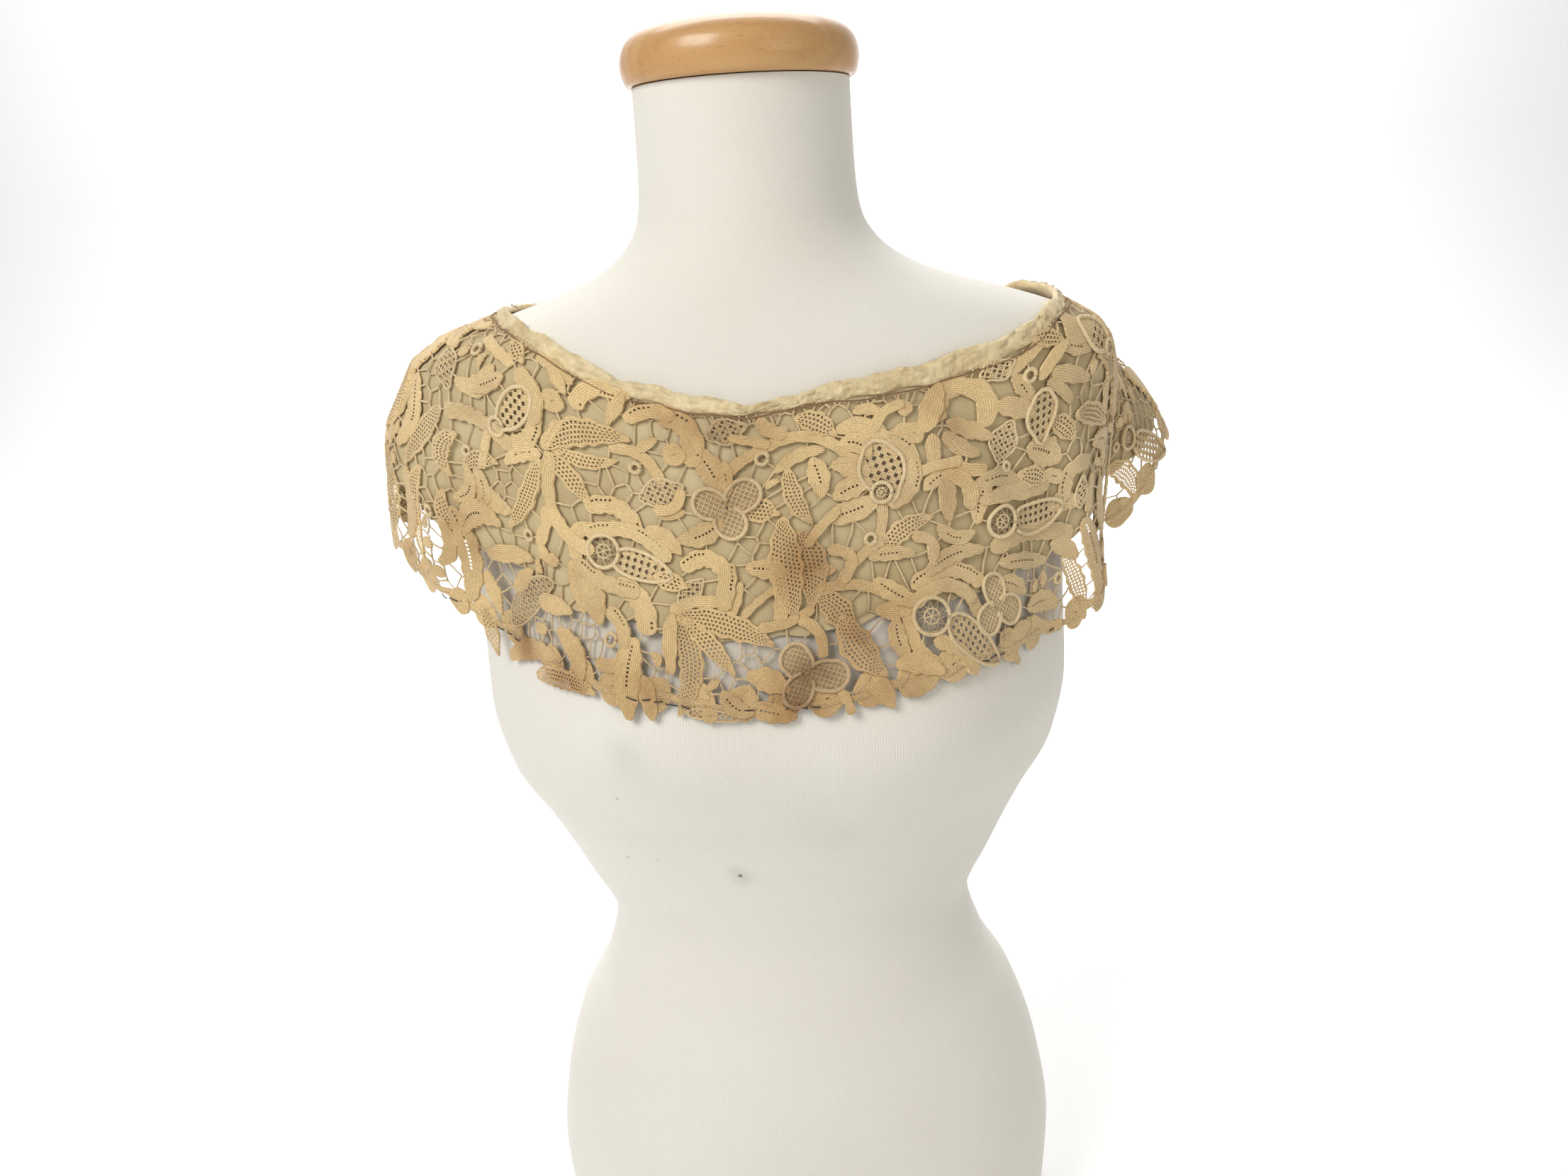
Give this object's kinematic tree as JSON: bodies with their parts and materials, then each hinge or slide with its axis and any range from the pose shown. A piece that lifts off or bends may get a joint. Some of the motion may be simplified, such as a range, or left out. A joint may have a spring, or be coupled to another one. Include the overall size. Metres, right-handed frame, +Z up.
{
  "type": "lace capelet on a dress form",
  "caption": "Shoulder-wide openwork lace capelet with a soft rolled neck binding and a short gauze lining, worn by a limbless padded dress form with a turned neck cap.",
  "frame": {"origin": "middle of the form's flat base, on the ground", "axes": "+Z up the form's axis; the front of the capelet faces -Y; +X is the viewer's right from the front"},
  "size_m": [0.4731, 0.2615, 0.7893],
  "materials": {
    "jersey": "ivory ribbed jersey stretched over padding, matt, faint marks",
    "turned_wood": "light turned wood under a thin satin varnish",
    "lining_gauze": "thin aged silk gauze, honey coloured, plain weave",
    "needle_lace": "ecru cotton needle lace, close buttonhole filling, brown age stains",
    "binding_gauze": "crumpled translucent cream gauze folded over the neck edge"
  },
  "bodies": {
    "root": {"form_body": "jersey", "neck_cap": "turned_wood", "lining_front": "lining_gauze", "lining_back": "lining_gauze", "lace_front": "needle_lace", "lace_back": "needle_lace", "binding_front": "binding_gauze", "binding_back": "binding_gauze"}
  },
  "joints": []
}
